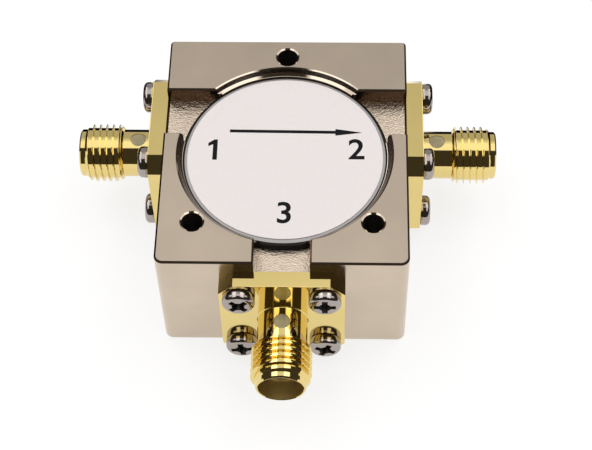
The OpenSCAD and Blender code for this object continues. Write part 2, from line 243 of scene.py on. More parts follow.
def turned(name, profile, steps):
    """Turn a solid about Z: a filled circle is drawn out along the points (radius, height)."""
    bpy.ops.object.select_all(action="DESELECT")
    bpy.ops.mesh.primitive_circle_add(
        vertices=steps, radius=profile[0][0], fill_type="NGON", location=(0, 0, profile[0][1])
    )
    piece = fresh(name)
    bpy.ops.object.mode_set(mode="EDIT")
    bpy.ops.mesh.select_mode(type="FACE")
    bpy.ops.mesh.select_all(action="SELECT")
    for (r0, z0), (r1, z1) in zip(profile, profile[1:]):
        bpy.ops.mesh.extrude_region_move(TRANSFORM_OT_translate={"value": (0, 0, z1 - z0)})
        bpy.ops.transform.resize(value=(r1 / r0, r1 / r0, 1), center_override=(0, 0, z1))
    bpy.ops.object.mode_set(mode="OBJECT")
    return clean(piece)


def plate(name, outline, low, high):
    """Raise a flat outline into a plate."""
    mesh = bpy.data.meshes.new(name)
    mesh.from_pydata([(x, y, low) for x, y in outline], [], [range(len(outline))])
    piece = bpy.data.objects.new(name, mesh)
    bpy.context.scene.collection.objects.link(piece)
    only(piece)
    bpy.ops.object.mode_set(mode="EDIT")
    bpy.ops.mesh.select_all(action="SELECT")
    bpy.ops.mesh.extrude_region_move(TRANSFORM_OT_translate={"value": (0, 0, high - low)})
    bpy.ops.object.mode_set(mode="OBJECT")
    return clean(piece)


def bevel(piece, width, steps, wanted):
    """Bevel the edges whose two ends pass the test."""
    only(piece)
    bpy.ops.object.mode_set(mode="EDIT")
    bpy.ops.mesh.select_mode(type="EDGE")
    bpy.ops.mesh.select_all(action="DESELECT")
    bpy.ops.object.mode_set(mode="OBJECT")
    points = piece.data.vertices
    for edge in piece.data.edges:
        edge.select = wanted(*(points[i].co for i in edge.vertices))
    bpy.ops.object.mode_set(mode="EDIT")
    bpy.ops.mesh.bevel(offset=width, segments=steps, affect="EDGES", clamp_overlap=False)
    bpy.ops.object.mode_set(mode="OBJECT")
    return piece


def cut(piece, tool, operation="DIFFERENCE"):
    """Cut, join or trim one solid with another, which is used up."""
    only(piece)
    change = piece.modifiers.new("cut", "BOOLEAN")
    change.object, change.operation, change.solver = tool, operation, "EXACT"
    bpy.ops.object.modifier_apply(modifier=change.name)
    bpy.data.objects.remove(tool)
    return piece


def moved(piece, matrix):
    """Move a piece and keep its place in its mesh."""
    only(piece)
    piece.matrix_world = matrix
    bpy.ops.object.transform_apply(location=True, rotation=True, scale=True)
    return piece


def copied(piece, name):
    only(piece)
    bpy.ops.object.duplicate()
    twin = bpy.context.object
    twin.name = twin.data.name = name
    return twin


def joined(pieces, name):
    only(pieces[0])
    for piece in pieces[1:]:
        piece.select_set(True)
    bpy.ops.object.join()
    pieces[0].name = pieces[0].data.name = name
    return pieces[0]


def corners(pitch):
    return [(x * pitch / 2, y * pitch / 2) for x in (-1, 1) for y in (-1, 1)]


def zigzag(r_out, r_in, low, high, pitch):
    """Profile of thread turns on a wall, from low to high, that starts and ends at the outer radius."""
    turns = max(1, round((high - low) / pitch))
    step = (high - low) / turns
    points = []
    for i in range(turns):
        z = low + i * step
        points += [(r_out, z + 0.08 * step), (r_in, z + 0.46 * step)]
        points += [(r_in, z + 0.54 * step), (r_out, z + 0.92 * step)]
    return points


def finished(piece, finish, nodes=(), crease=30):
    """Shade a piece, give it its finish and tie it to the frame."""
    only(piece)
    bpy.ops.object.shade_smooth_by_angle(angle=math.radians(crease))
    even = piece.modifiers.new("even", "WEIGHTED_NORMAL")
    even.keep_sharp = True
    bpy.ops.object.modifier_apply(modifier=even.name)
    if not piece.data.materials:
        piece.data.materials.append(finish)
    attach(piece, "root")
    if nodes:
        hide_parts(*nodes)
    return piece


# Places of the three ports, read from the frame

PORT_TURNS = {"front": 0, "right": 90, "left": -90}


def port_matrix(side):
    """From a port's own frame, +Z outwards and +Y up, to the row frame."""
    low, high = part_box(f"{side}_connector_shell")
    middle = (low + high) / 2
    block_low, block_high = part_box("body_housing")
    if side == "front":
        middle.y = block_low.y
    else:
        middle.x = block_high.x if side == "right" else block_low.x
    turn = Matrix.Rotation(math.radians(PORT_TURNS[side]), 4, "Z") @ Matrix.Rotation(math.radians(90), 4, "X")
    return Matrix.Translation(middle) @ turn


def port_length():
    low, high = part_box("front_connector_shell")
    return high.y - low.y


# Finishes

def node(tree, kind, inputs=None, **settings):
    made = tree.nodes.new(kind)
    for key, value in settings.items():
        setattr(made, key, value)
    for key, value in (inputs or {}).items():
        if isinstance(value, bpy.types.NodeSocket):
            tree.links.new(value, made.inputs[key])
        else:
            made.inputs[key].default_value = value
    return made


def material(name):
    finish = bpy.data.materials.new(name)
    finish.use_nodes = True
    return finish, finish.node_tree, finish.node_tree.nodes["Principled BSDF"]


def spread(tree, value, low, high):
    """Map a pattern from its middle range to the range that is wanted."""
    inputs = {"Value": value, "From Min": 0.3, "From Max": 0.7, "To Min": low, "To Max": high}
    return node(tree, "ShaderNodeMapRange", inputs).outputs["Result"]


def tinted(tree, shader, colour, pattern, low, high):
    """Vary the colour by the pattern, from low to high times its own."""
    mix = node(tree, "ShaderNodeMix", {"Factor": spread(tree, pattern, 0, 1)}, data_type="RGBA")
    mix.inputs["A"].default_value = (*(c * low for c in colour), 1)
    mix.inputs["B"].default_value = (*(min(1, c * high) for c in colour), 1)
    tree.links.new(mix.outputs["Result"], shader.inputs["Base Color"])


def noise(tree, scale, detail=2.0, stretch=(1, 1, 1)):
    where = node(tree, "ShaderNodeTexCoord").outputs["Object"]
    mapped = node(tree, "ShaderNodeMapping", {"Vector": where, "Scale": stretch}).outputs["Vector"]
    return node(tree, "ShaderNodeTexNoise", {"Vector": mapped, "Scale": scale, "Detail": detail}).outputs["Fac"]


def relief(tree, shader, height, distance, strength=1.0):
    bump = node(tree, "ShaderNodeBump", {"Height": height, "Distance": distance, "Strength": strength})
    tree.links.new(bump.outputs["Normal"], shader.inputs["Normal"])


def plated(name, colour, rough, grain, grain_h, tint=0.05, stretch=(1, 1, 1)):
    """A metal: slow changes of tint, a fine grain in its gloss and a slight relief."""
    finish, tree, shader = material(name)
    shader.inputs["Metallic"].default_value = 1
    tinted(tree, shader, colour, noise(tree, 160, 3), 1 - tint, 1 + tint)
    fine = noise(tree, 1 / grain, 3, stretch)
    tree.links.new(spread(tree, fine, rough[0], rough[1]), shader.inputs["Roughness"])
    relief(tree, shader, fine, grain_h)
    return finish


def plain(name, colour, rough, grain, grain_h, tint=0.06):
    """A paper, resin, ceramic or ink: no metal, with a fine grain."""
    finish, tree, shader = material(name)
    fine = noise(tree, 1 / grain, 4)
    tinted(tree, shader, colour, noise(tree, 0.22 / grain, 3), 1 - tint, 1 + tint)
    tree.links.new(spread(tree, fine, rough[0], rough[1]), shader.inputs["Roughness"])
    relief(tree, shader, fine, grain_h)
    return finish


# Operators, one for each piece or group of like pieces

class CIRCULATOR_OT_stage(bpy.types.Operator):
    """Set up the floor, the studio round it and the camera"""
    bl_idname = "circulator.stage"
    bl_label = "Stage"

    def execute(self, context):
        s = context.scene.circulator_stage
        self.camera(context, s)
        self.room(context, s)
        self.floor(s)
        context.scene.view_settings.view_transform = "Standard"
        return {"FINISHED"}

    def camera(self, context, s):
        bpy.ops.object.select_all(action="DESELECT")
        bpy.ops.object.camera_add()
        camera = context.object
        camera.name = "photo_camera"
        camera.data.sensor_fit = "HORIZONTAL"
        camera.data.sensor_width = 36
        camera.data.lens = s.lens
        camera.data.clip_start, camera.data.clip_end = 0.01, 20
        turn = Matrix(CAMERA_AXES).transposed().to_4x4()
        camera.matrix_world = Matrix.Translation(CAMERA_AT) @ turn
        context.scene.camera = camera

    def room(self, context, s):
        """A dim room with a wide light overhead, a long strip on each side and a pale wall behind."""
        world = bpy.data.worlds.new("studio")
        context.scene.world = world
        world.use_nodes = True
        tree = world.node_tree
        where = node(tree, "ShaderNodeTexCoord").outputs["Generated"]
        axes = node(tree, "ShaderNodeSeparateXYZ", {"Vector": where}).outputs
        side = node(tree, "ShaderNodeMath", {0: axes["X"]}, operation="ABSOLUTE").outputs[0]

        def band(value, low, high, soft):
            """1 between low and high, 0 outside, with soft edges."""
            rise = {"Value": value, "From Min": low - soft, "From Max": low + soft}
            fall = {"Value": value, "From Min": high + soft, "From Max": high - soft}
            return times(*(node(tree, "ShaderNodeMapRange", inputs).outputs["Result"] for inputs in (rise, fall)))

        def times(a, b):
            return node(tree, "ShaderNodeMath", {0: a, 1: b}, operation="MULTIPLY").outputs[0]

        def plus(a, b):
            return node(tree, "ShaderNodeMath", {0: a, 1: b}, operation="ADD").outputs[0]

        # Each light lies between two limits of the unit direction, across and from front to back
        above = band(axes["Z"], 0.0, 2.0, 0.02)
        ceiling = times(times(band(side, -1, 0.85, 0.06), band(axes["Y"], -0.22, 0.40, 0.03)), above)
        boxes = times(times(band(side, 0.24, 0.58, 0.03), band(axes["Y"], -0.58, 0.70, 0.04)), above)
        inputs = {"Value": axes["Y"], "From Min": 0.50, "From Max": 0.68, "To Min": 1.33, "To Max": 0.775}
        fade = node(tree, "ShaderNodeMapRange", inputs).outputs["Result"]
        wall = times(band(side, -1, 0.40, 0.10), band(axes["Y"], 0.40, 2.0, 0.03))
        sweep = times(times(wall, fade), above)
        strips = {0: times(ceiling, s.ceiling), 1: times(boxes, s.boxes)}
        lamps = node(tree, "ShaderNodeMath", strips, operation="MAXIMUM")
        light = plus(lamps.outputs[0], times(sweep, s.sweep))
        whole = {"Factor": 1.0}
        total = node(tree, "ShaderNodeMix", whole, data_type="RGBA", blend_type="ADD", clamp_result=False)
        total.inputs["A"].default_value = (*s.dim, 1)
        tree.links.new(light, total.inputs["B"])
        seen = node(tree, "ShaderNodeLightPath").outputs["Is Camera Ray"]
        pick = node(tree, "ShaderNodeMix", {"Factor": seen}, data_type="RGBA")
        tree.links.new(total.outputs["Result"], pick.inputs["A"])
        pick.inputs["B"].default_value = (1, 1, 1, 1)
        tree.links.new(pick.outputs["Result"], tree.nodes["Background"].inputs["Color"])

    def floor(self, s):
        bpy.ops.object.select_all(action="DESELECT")
        bpy.ops.mesh.primitive_circle_add(
            vertices=128, radius=s.floor_r, fill_type="NGON", location=(0, 0, -0.02 * MM)
        )
        floor = fresh("studio_floor")
        finish, tree, shader = material("pale_floor")
        shader.inputs["Roughness"].default_value = 0.9
        shader.inputs["Specular IOR Level"].default_value = 0.0
        shader.inputs["Emission Color"].default_value = (1, 1, 1, 1)

        def sum_of(kind, a, b):
            return node(tree, "ShaderNodeMath", {0: a, 1: b}, operation=kind).outputs[0]

        def past(value, edge):
            inputs = {"Value": value, "From Min": edge - 1.5 * MM, "From Max": edge + 1.5 * MM}
            return node(tree, "ShaderNodeMapRange", inputs).outputs["Result"]

        paths = node(tree, "ShaderNodeLightPath").outputs
        where = node(tree, "ShaderNodeTexCoord").outputs["Object"]
        axes = node(tree, "ShaderNodeSeparateXYZ", {"Vector": where}).outputs
        beside = past(sum_of("ABSOLUTE", axes["X"], 0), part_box("right_connector_shell")[0].x + 3 * MM)
        card = sum_of("MULTIPLY", beside, past(axes["Y"], s.card))
        keep = sum_of("SUBTRACT", 1, sum_of("MULTIPLY", card, paths["Is Glossy Ray"]))
        lifted = sum_of("MAXIMUM", paths["Is Camera Ray"], paths["Is Glossy Ray"])
        lift = sum_of("MULTIPLY", sum_of("MULTIPLY", lifted, keep), s.floor_lift)
        tree.links.new(sum_of("MULTIPLY", keep, s.floor), shader.inputs["Base Color"])
        tree.links.new(lift, shader.inputs["Emission Strength"])
        floor.data.materials.append(finish)


class CIRCULATOR_OT_housing(bpy.types.Operator):
    """Mill the housing: cavity with its threaded mouth, three slots, drillings and mounting holes"""
    bl_idname = "circulator.housing"
    bl_label = "Housing"

    # Finishes of the faces, in the order of the housing's materials; the bore, wall and chamfer finishes are
    # darker nickel as painted shade
    SATIN, MILLED, BORE, EDGE, WALL, STAINED, CORNER = range(7)

    def execute(self, context):
        s = context.scene.circulator_housing
        low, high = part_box("body_housing")
        housing = block("housing_block", low, high)
        upright = lambda a, b: abs(a.z - b.z) > MM
        bevel(housing, s.front_edge_r, 10, lambda a, b: upright(a, b) and a.y < 0)
        bevel(housing, s.back_edge_r, 8, lambda a, b: upright(a, b) and a.y > 0 and abs(a.x) > high.x - TINY)
        level = lambda a, b: not upright(a, b) and min(a.z - low.z, high.z - a.z) < TINY
        bevel(housing, s.edge_break, 1, level)
        clean(housing)
        cut(housing, self.cavity(s, high.z))
        for side in PORT_TURNS:
            cut(housing, self.slot(s, side, low, high))
        for way in (-1, 1):
            cut(housing, self.slot_lip(s, way * high.x, high.z - s.slot_depth))
        cut(housing, self.holes(s, high.z))
        cut(housing, self.drillings(context))
        clean(housing)
        look = context.scene.circulator_finish
        satin = plated("nickel_satin", look.nickel, (0.13, 0.19), 0.05 * MM, 0.0006 * MM)
        grainy = plated("nickel_milled", look.nickel, (0.12, 0.18), 0.17 * MM, 0.07 * MM, 0.06)
        # Painted shade: darker nickel in the middle of the mounting holes, in the cavity below the slots and on
        # the slot floors' outer breaks
        shade = plated("nickel_bore", look.painted_shade_nickel, (0.4, 0.6), 0.05 * MM, 0.004 * MM)
        bright = plated("nickel_edge", look.nickel, (0.05, 0.08), 0.06 * MM, 0.0004 * MM)
        # Painted shade: darker nickel on the slot walls
        wall = plated("nickel_wall_shade", look.wall, (0.08, 0.12), 0.2 * MM, 0.02 * MM, 0.15)
        # Painted shade: dark nickel on the cavity's chamfer, for the gap round the lid
        painted_shade_nickel = plated("nickel_painted_shade", look.painted_shade_nickel, (0.12, 0.2), 0.12 * MM, 0.02 * MM, 0.3)
        blend = plated("nickel_corner", look.nickel, (0.45, 0.55), 0.06 * MM, 0.001 * MM)
        for finish in (satin, grainy, shade, bright, wall, painted_shade_nickel, blend):
            housing.data.materials.append(finish)
        for face in housing.data.polygons:
            face.material_index = self.finish_of(s, face.center, face.normal, low, high)
        finished(housing, satin, ["body_housing"], 15)
        return {"FINISHED"}

    def finish_of(self, s, at, facing, low, high):
        """Finish of a face, by its place and the way it faces; bores, slot walls, the slot floors' outer breaks
        and the cavity's chamfer get darker nickel as painted shade.
        """
        slot_floor, mouth, out = high.z - s.slot_depth, high.z - s.mouth_chamfer, at.xy.length
        outside = max(abs(at.x) - high.x, low.y - at.y, at.y - high.y) > -2 * TINY
        level = abs(facing.z)
        near_hole = abs(out - s.hole_ring_r) < s.hole_d / 2 + TINY
        in_hole = level < 0.1 and near_hole and not outside and at.z < mouth
        # Painted shade: the middle of the mounting holes and the cavity below the slot floors are dark
        if in_hole and abs(at.z - high.z / 2) < 2 * MM or at.z < slot_floor - TINY and out < s.cavity_r + TINY:
            return self.BORE
        # Painted shade: the cavity's chamfer is dark like the gap round the lid
        if at.z > mouth and 0.6 < level < 0.8 and s.cavity_r < out < s.cavity_r + s.mouth_chamfer:
            return self.STAINED
        # Painted shade: the outer break of each slot floor is dark
        if 0.6 < level < 0.8 and abs(at.z - slot_floor) < s.edge_break:
            return self.BORE
        if 0.3 < level < 0.985 or at.z > slot_floor + MM and out < s.cavity_r + s.turn_depth and level < 0.3:
            return self.EDGE
        if not outside and slot_floor - TINY < at.z < high.z - TINY and level < 0.3:
            # Painted shade: slot walls take the darker wall nickel
            return self.CORNER if min(abs(facing.x), abs(facing.y)) > 0.1 else self.WALL
        return self.MILLED if abs(at.z - slot_floor) < TINY and facing.z > 0.9 else self.SATIN

    def cavity(self, s, top):
        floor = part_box("lower_compensation_disc")[0].z
        lid_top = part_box("threaded_lid")[1].z
        mouth = top - s.mouth_chamfer
        crest, root = s.cavity_r - s.turn_depth / 2, s.cavity_r + s.turn_depth / 2
        rise = s.turn_depth * math.tan(math.radians(30))
        start = lid_top + 0.02 * MM
        flank = start + s.turn_crest
        edge = s.cavity_r + s.mouth_chamfer + 0.06 * MM
        profile = [
            (s.cavity_r, floor), (s.cavity_r, lid_top), (crest, start), (crest, flank),
            (crest + 0.04 * MM, flank + 0.008 * MM), (root, flank + rise), (root, flank + rise + 0.03 * MM),
            (s.cavity_r, mouth), (edge - 0.15 * MM, top - 0.087 * MM), (edge, top),
            (edge + 0.01 * MM, top + PAST),
        ]
        return turned("cavity_tool", profile, 180)

    def slot(self, s, side, low, high):
        """Cutter for a slot: straight walls, drawn up and spread at the top to break their edges."""
        shift = {"front": 0, "right": s.side_slot_y, "left": -s.side_slot_y}[side]
        reach = (-low.y if side == "front" else high.x) + PAST
        plan = self.slot_plan(s, shift, reach, 0)
        wide = self.slot_plan(s, shift, reach, s.edge_break + PAST)
        top = high.z + PAST
        tool = plate("slot_tool", plan, high.z - s.slot_depth, high.z - s.edge_break)
        bpy.ops.object.mode_set(mode="EDIT")
        bpy.ops.mesh.select_mode(type="FACE")
        bpy.ops.mesh.select_all(action="DESELECT")
        bpy.ops.object.mode_set(mode="OBJECT")
        for face in tool.data.polygons:
            face.select = face.normal.z > 0.9
        bpy.ops.object.mode_set(mode="EDIT")
        bpy.ops.mesh.extrude_region_move(TRANSFORM_OT_translate={"value": (0, 0, s.edge_break + PAST)})
        bpy.ops.object.mode_set(mode="OBJECT")
        for point in tool.data.vertices:
            if point.co.z > top - 0.001 * MM:
                nearest = min(range(len(plan)), key=lambda i: (Vector(plan[i]) - point.co.xy).length)
                point.co.xy = wide[nearest]
        clean(tool)
        return moved(tool, Matrix.Rotation(math.radians(PORT_TURNS[side] - 90), 4, "Z"))

    def slot_plan(self, s, shift, reach, spread_by):
        """Outline of a slot along +X, with its two blended corners at the cavity."""
        r, rc = s.cavity_r, s.slot_corner_r
        rows = []
        for way in (-1, 1):
            wall = shift + way * s.slot_w / 2
            y = wall + way * rc
            # A little inside the tangent, so that the corner crosses the cavity's wall cleanly
            centre = Vector((math.sqrt((r + rc - 0.02 * MM) ** 2 - y ** 2), y))
            start = math.atan2(-centre.y, -centre.x)
            stop = -way * math.pi / 2
            sweep = (stop - start + math.pi) % (2 * math.pi) - math.pi
            turns = [start + sweep * i / 8 for i in range(9)]
            arc = [centre + (rc - spread_by) * Vector((math.cos(a), math.sin(a))) for a in turns]
            rows.append([arc[0] * 0.9] + arc + [Vector((reach, wall + way * spread_by))])
        return [tuple(p) for p in rows[0] + rows[1][::-1]]

    def slot_lip(self, s, x, z):
        """Cutter that breaks the outer edge of a side slot's floor."""
        half = s.edge_break / math.sqrt(2)
        bar = block("lip_tool", (-half, -s.slot_w / 2, -half), (half, s.slot_w / 2, half))
        return moved(bar, Matrix.Translation((x, s.side_slot_y, z)) @ Matrix.Rotation(math.radians(45), 4, "Y"))

    def holes(self, s, top):
        r, c, slope = s.hole_d / 2, s.hole_chamfer, 0.6
        mouth = r + c + PAST
        low = slope * c
        profile = [(mouth, -slope * PAST), (r, low), (r, top - low), (mouth, top + slope * PAST)]
        tools = []
        for a in (math.pi / 2, -s.hole_angle, s.hole_angle - math.pi):
            tool = turned("hole_tool", profile, 64)
            at = Matrix.Translation((s.hole_ring_r * math.cos(a), s.hole_ring_r * math.sin(a), 0))
            tools.append(moved(tool, at))
        return joined(tools, "hole_tools")

    def drillings(self, context):
        port, screw = context.scene.circulator_port, context.scene.circulator_screw
        tools = []
        for side in PORT_TURNS:
            at = port_matrix(side)
            depth = -at.translation.y if side == "front" else abs(at.translation.x)
            feed = turned("feed_tool", [(port.bore_d / 2, 6 * MM - depth), (port.bore_d / 2, PAST)], 48)
            tools.append(moved(feed, at))
            for x, y in corners(screw.pitch):
                r = screw.tapped_d / 2
                tool = turned("tap_tool", [(r, -screw.tapped_depth), (r, PAST)], 32)
                tools.append(moved(tool, at @ Matrix.Translation((x, y, 0))))
        return joined(tools, "drilling_tools")


class CIRCULATOR_OT_lid(bpy.types.Operator):
    """Turn the lid, with its thread and the two spanner holes under the label"""
    bl_idname = "circulator.lid"
    bl_label = "Lid"

    def execute(self, context):
        s = context.scene.circulator_lid
        low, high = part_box("threaded_lid")
        r = high.x
        wall = zigzag(r, r - s.turn_depth, low.z, high.z - s.chamfer, s.turn_pitch)
        rim = r - s.chamfer - s.dark_rim
        edge = [(r, high.z - s.chamfer), (r - s.chamfer, high.z), (rim, high.z)]
        profile = [(r - s.turn_depth, low.z)] + wall + edge
        lid = turned("threaded_lid_turned", profile, 180)
        hole_r = s.spanner_d / 2
        for way in (-1, 1):
            tool = turned("spanner_tool", [(hole_r, high.z - s.spanner_depth), (hole_r, high.z + PAST)], 48)
            cut(lid, moved(tool, Matrix.Translation((way * s.spanner_pitch / 2, 0, 0))))
        look = context.scene.circulator_finish
        steel = self.turned_steel(look.lid)
        # Painted shade: the thread, the edge and a rim inside the chamfer are near black for the gap round the
        # lid; the front in the slot stays bare steel
        for finish in (steel, plated("lid_gap_shade", look.lid_side_shade, (0.4, 0.55), 0.08 * MM, 0.004 * MM, 0.2)):
            lid.data.materials.append(finish)
        slot = context.scene.circulator_housing.slot_w / 2
        for face in lid.data.polygons:
            bare = face.center.z > high.z - s.chamfer and face.center.y < 0 and abs(face.center.x) < slot
            inside = abs(face.normal.z) > 0.9 and face.center.xy.length < rim
            face.material_index = 0 if inside or bare else 1
        finished(lid, steel, ["threaded_lid"])
        return {"FINISHED"}

    def turned_steel(self, colour):
        """Fine rings from the lathe, about the junction axis."""
        finish, tree, shader = material("lid_turned")
        shader.inputs["Metallic"].default_value = 1
        where = node(tree, "ShaderNodeTexCoord").outputs["Object"]
        rings = node(
            tree,
            "ShaderNodeTexWave",
            {"Vector": where, "Scale": 4200, "Distortion": 1.2, "Detail": 2},
            wave_type="RINGS",
            rings_direction="Z",
        ).outputs["Fac"]
        tinted(tree, shader, colour, noise(tree, 220, 3), 0.95, 1.05)
        tree.links.new(spread(tree, rings, 0.08, 0.14), shader.inputs["Roughness"])
        relief(tree, shader, rings, 0.0012 * MM)
        return finish


class CIRCULATOR_OT_label(bpy.types.Operator):
    """Lay the round paper label on the lid and print a plain arrow and the port numbers on it"""
    bl_idname = "circulator.label"
    bl_label = "Label"

    def execute(self, context):
        s = context.scene.circulator_lid
        look = context.scene.circulator_finish
        low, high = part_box("round_label")
        edge = 0.03 * MM
        profile = [
            (high.x, low.z), (high.x, high.z - edge), (high.x - 0.3 * edge, high.z - 0.3 * edge),
            (high.x - edge, high.z),
        ]
        label = turned("round_paper_label", profile, 180)
        paper = plain("label_paper", look.paper, (0.5, 0.65), 0.06 * MM, 0.0016 * MM, 0.015)
        finished(label, paper, ["round_label"])
        ink = plain("label_ink", look.ink, (0.5, 0.65), 0.05 * MM, 0.0008 * MM)
        ink.node_tree.nodes["Principled BSDF"].inputs["Specular IOR Level"].default_value = 0.06
        finished(self.arrow(high.z, s.print_t), ink)
        finished(self.figures(high.z, s), ink)
        return {"FINISHED"}

    def arrow(self, z, thick):
        tail, neck, tip, mid = -5.85 * MM, 5.2 * MM, 8.0 * MM, 3.28 * MM
        half, head = 0.19 * MM, 0.43 * MM
        outline = [
            (tail, -half), (neck, -half), (neck, -head), (tip, 0), (neck, head), (neck, half), (tail, half),
        ]
        arrow = plate("label_arrow", outline, 0, thick)
        return moved(arrow, Matrix.Translation((0, mid, z)) @ Matrix.Rotation(math.radians(-0.5), 4, "Z"))

    def figures(self, z, s):
        h = s.figure_h
        one = [
            (-0.09, -0.5), (0.09, -0.5), (0.09, 0.5), (-0.04, 0.5), (-0.28, 0.33), (-0.28, 0.16), (-0.09, 0.27),
        ]
        bar = plate("figure", [(x * h, y * h) for x, y in one], 0, s.print_t)
        made = [moved(bar, Matrix.Translation((-7.3 * MM, 0.9 * MM, z)))]
        for figure, (x, y) in {"2": (7.4, 0.9), "3": (0.1, -7.1)}.items():
            bpy.ops.object.select_all(action="DESELECT")
            bpy.ops.object.text_add()
            text = bpy.context.object
            text.data.body = figure
            text.data.size = s.figure_h / 0.72
            text.data.offset = 0.02 * s.figure_h
            text.data.extrude = s.print_t / 2
            text.data.align_x, text.data.align_y = "CENTER", "CENTER"
            bpy.ops.object.convert(target="MESH")
            mesh = fresh("figure")
            made.append(moved(clean(mesh), Matrix.Translation((x * MM, y * MM, z + s.print_t / 2))))
        return joined(made, "label_port_numbers")


class CIRCULATOR_OT_ports(bpy.types.Operator):
    """Build one gold port, flange, neck and threaded barrel, and stand a copy on each face"""
    bl_idname = "circulator.ports"
    bl_label = "Ports"

    def execute(self, context):
        s, screw = context.scene.circulator_port, context.scene.circulator_screw
        shell = self.flange(s)
        cut(shell, self.barrel(s), "UNION")
        cut(shell, self.bore(s))
        for x, y in corners(screw.pitch):
            r = screw.hole_d / 2
            hole = turned("screw_hole_tool", [(r, -PAST), (r, s.flange_t + PAST)], 48)
            cut(shell, moved(hole, Matrix.Translation((x, y, 0))))
        cut(shell, plug_tool(s, s.plug_gap))
        clean(shell)
        cut(shell, self.turns(s), "UNION")
        clean(shell)
        look = context.scene.circulator_finish
        gold = plated("gold_plate", look.gold, (0.03, 0.06), 0.08 * MM, 0.0002 * MM, 0.03)
        dull = plated("gold_bore", look.bore, (0.32, 0.45), 0.05 * MM, 0.003 * MM, 0.08)
        for finish in (gold, dull):
            shell.data.materials.append(finish)
        bored, face_end = s.mouth_d / 2 + TINY, s.flange_t + 0.1 * MM
        for face in shell.data.polygons:
            face.material_index = 1 if face.center.xy.length < bored and face.center.z > face_end else 0
        for side in PORT_TURNS:
            twin = moved(copied(shell, f"{side}_port_shell"), port_matrix(side))
            finished(twin, gold, [f"{side}_connector_shell"])
        bpy.data.objects.remove(shell)
        return {"FINISHED"}

    def flange(self, s):
        low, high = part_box("front_connector_shell")
        half = (high.x - low.x) / 2
        flange = block("flange", (-half, -half, 0), (half, half, s.flange_t))
        bevel(flange, s.flange_chamfer, 1, lambda a, b: abs(a.z - b.z) > MM)
        bevel(flange, s.flange_break, 2, lambda a, b: min(a.z, b.z) > s.flange_t - TINY)
        return clean(flange)

    def thread(self, s):
        """Start and end of the thread along the port, and its root radius."""
        stop = port_length() - s.collar_len
        return stop - s.thread_len, stop, s.thread_d / 2 - s.thread_depth

    def barrel(self, s):
        """Neck, core of the thread and collar."""
        start, stop, root = self.thread(s)
        end = port_length()
        neck, collar, fillet = s.neck_d / 2, s.collar_d / 2, s.neck_fillet
        shoulder, past = s.shoulder_d / 2, start + s.shoulder_len
        profile = [
            (neck + fillet, 0.5 * s.flange_t), (neck + fillet, s.flange_t - 0.02 * MM),
            (neck + 0.5 * fillet, s.flange_t + 0.13 * fillet), (neck + 0.13 * fillet, s.flange_t + 0.5 * fillet),
            (neck, s.flange_t + fillet), (neck, start),
            (shoulder - 0.12 * MM, start + 0.1 * MM), (shoulder, start + 0.2 * MM),
            (shoulder, past - 0.04 * MM), (root, past), (root, stop + collar - root), (collar, stop),
            (collar, end - s.collar_bevel), (collar - s.collar_bevel, end),
        ]
        return turned("barrel", profile, 96)

    def turns(self, s):
        """A tooth swept along the helix, trimmed by the bevelled outside of the thread."""
        start, stop, root = self.thread(s)
        start += s.shoulder_len - 0.2 * MM
        stop -= 0.14 * MM
        crest = s.thread_d / 2
        flank, half = s.thread_flank, s.thread_crest / 2
        tooth = [
            (root - 0.1 * MM, -half - flank), (root, -half - flank), (crest + 0.05 * MM, -half),
            (crest + 0.05 * MM, half), (root, half + flank), (root - 0.1 * MM, half + flank),
        ]
        first = start - s.thread_pitch + 0.15 * MM
        mesh = bpy.data.meshes.new("tooth")
        mesh.from_pydata(
            [(r, 0, first + z) for r, z in tooth], [(i, (i + 1) % len(tooth)) for i in range(len(tooth))], []
        )
        turns = bpy.data.objects.new("turns", mesh)
        bpy.context.scene.collection.objects.link(turns)
        only(turns)
        screw = turns.modifiers.new("helix", "SCREW")
        screw.axis, screw.angle, screw.screw_offset = "Z", 2 * math.pi, s.thread_pitch
        screw.iterations = math.ceil(s.thread_len / s.thread_pitch) + 2
        screw.steps = screw.render_steps = 72
        bpy.ops.object.modifier_apply(modifier=screw.name)
        bpy.ops.object.mode_set(mode="EDIT")
        bpy.ops.mesh.select_mode(type="VERT")
        bpy.ops.mesh.select_all(action="DESELECT")
        bpy.ops.mesh.select_non_manifold()
        bpy.ops.mesh.fill_holes(sides=0)
        bpy.ops.object.mode_set(mode="OBJECT")
        clean(turns)
        low, lead = crest - s.thread_bevel, s.shoulder_len
        outside = turned(
            "thread_outside",
            [(root, start), (crest, start + lead), (crest, stop - s.thread_bevel), (low, stop)],
            144,
        )
        return cut(turns, outside, "INTERSECT")

    def bore(self, s):
        end = port_length()
        bore, mouth = s.bore_d / 2, s.mouth_d / 2
        floor = end - s.mouth_depth
        rim = 0.05 * MM
        profile = [
            (bore, -PAST), (bore, floor), (mouth, floor), (mouth, end - rim), (mouth + rim + PAST, end + PAST),
        ]
        return turned("bore_tool", profile, 96)


def plug_tool(s, gap):
    """Round rod that stands in the neck, half way along it, and points up."""
    middle = (s.flange_t + port_length() - s.collar_len - s.thread_len) / 2
    rod = turned("plug_rod", [(s.plug_d / 2 + gap, 0), (s.plug_d / 2 + gap, s.neck_d)], 64)
    at = Matrix.Translation((0, 0, middle)) @ Matrix.Rotation(math.radians(-90), 4, "X")
    return moved(rod, at)


